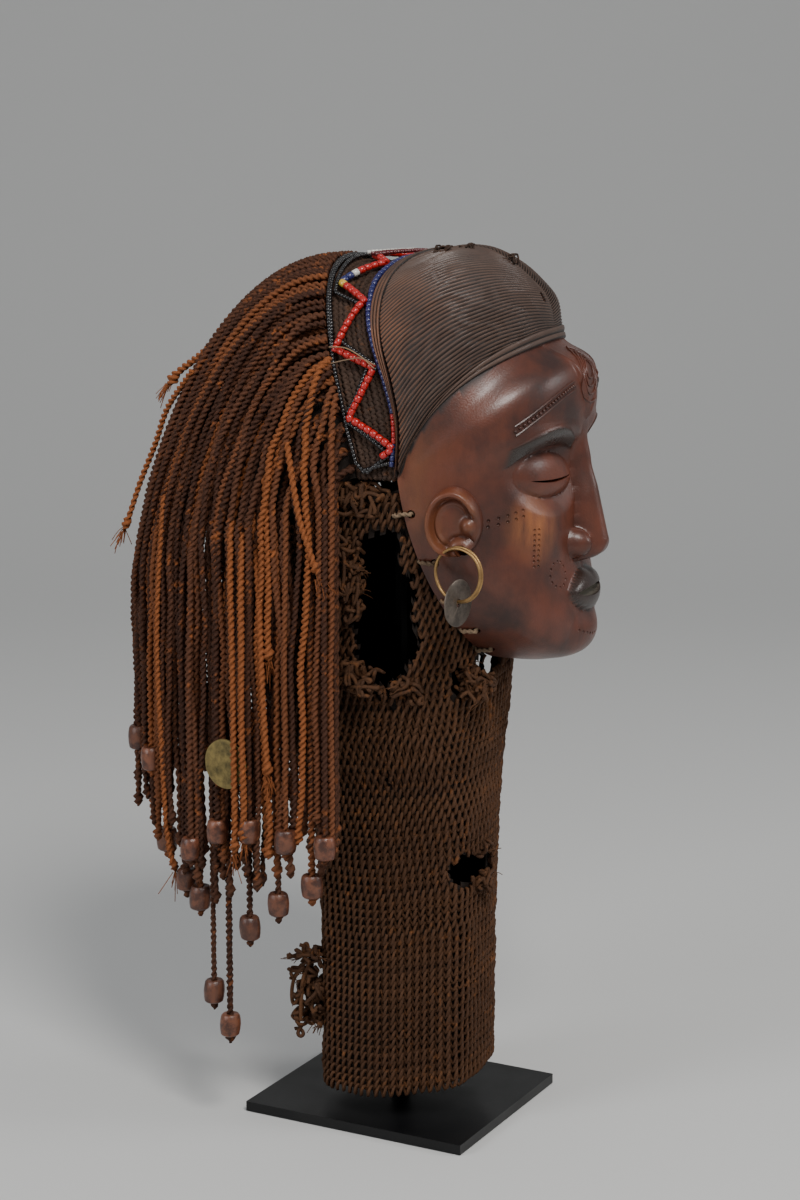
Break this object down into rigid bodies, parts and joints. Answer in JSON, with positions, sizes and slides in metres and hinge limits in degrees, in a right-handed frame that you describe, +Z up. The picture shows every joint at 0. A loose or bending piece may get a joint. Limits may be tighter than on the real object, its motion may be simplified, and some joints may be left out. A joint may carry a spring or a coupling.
{
  "type": "mask on a display stand",
  "caption": "Chokwe mwana pwo dance mask of carved wood with plaited band, bead strings, fibre cord wig with wooden beads and looped fibre collar, on a black post stand.",
  "frame": {"origin": "The middle of the stand plate's underside.", "axes": "+Z up, the mask faces -Y, and its right ear is on the -X side."},
  "size_m": [0.2026, 0.3044, 0.5266],
  "materials": {
    "black_paint": "satin black paint",
    "carved_wood": "polished dark reddish brown, worn",
    "dark_fibre": "dry dark plaited fibre",
    "brown_fibre": "dry looped plant fibre",
    "red_fibre": "dry twisted cord rubbed with red earth",
    "turned_wood": "rubbed pinkish brown",
    "red_glass": "glossy opaque beads",
    "blue_glass": "glossy opaque beads",
    "black_glass": "glossy opaque beads",
    "brass": "worn brass wire",
    "dark_metal": "dull dark grey",
    "coin_brass": "tarnished"
  },
  "bodies": {
    "root": {"stand_plate": "black_paint", "stand_post": "black_paint", "carved_mask": "carved_wood", "plaited_band": "dark_fibre", "wig_cap": "brown_fibre", "wig_cords": "red_fibre", "looped_collar": "brown_fibre", "red_bead_string": "red_glass", "blue_bead_string": "blue_glass", "black_bead_string": "black_glass", "right_ear_hoop": "brass", "right_ear_disc": "dark_metal", "left_ear_hoop": "brass", "left_ear_disc": "dark_metal", "brass_disc": "coin_brass", "wooden_bead_1": "turned_wood", "wooden_bead_2": "turned_wood", "wooden_bead_3": "turned_wood", "wooden_bead_4": "turned_wood", "wooden_bead_5": "turned_wood", "wooden_bead_6": "turned_wood", "wooden_bead_7": "turned_wood", "wooden_bead_8": "turned_wood", "wooden_bead_9": "turned_wood", "wooden_bead_10": "turned_wood", "wooden_bead_11": "turned_wood", "wooden_bead_12": "turned_wood", "wooden_bead_13": "turned_wood", "wooden_bead_14": "turned_wood", "wooden_bead_15": "turned_wood", "wooden_bead_16": "turned_wood", "wooden_bead_17": "turned_wood", "wooden_bead_18": "turned_wood", "wooden_bead_19": "turned_wood", "wooden_bead_20": "turned_wood", "wooden_bead_21": "turned_wood"}
  },
  "joints": []
}
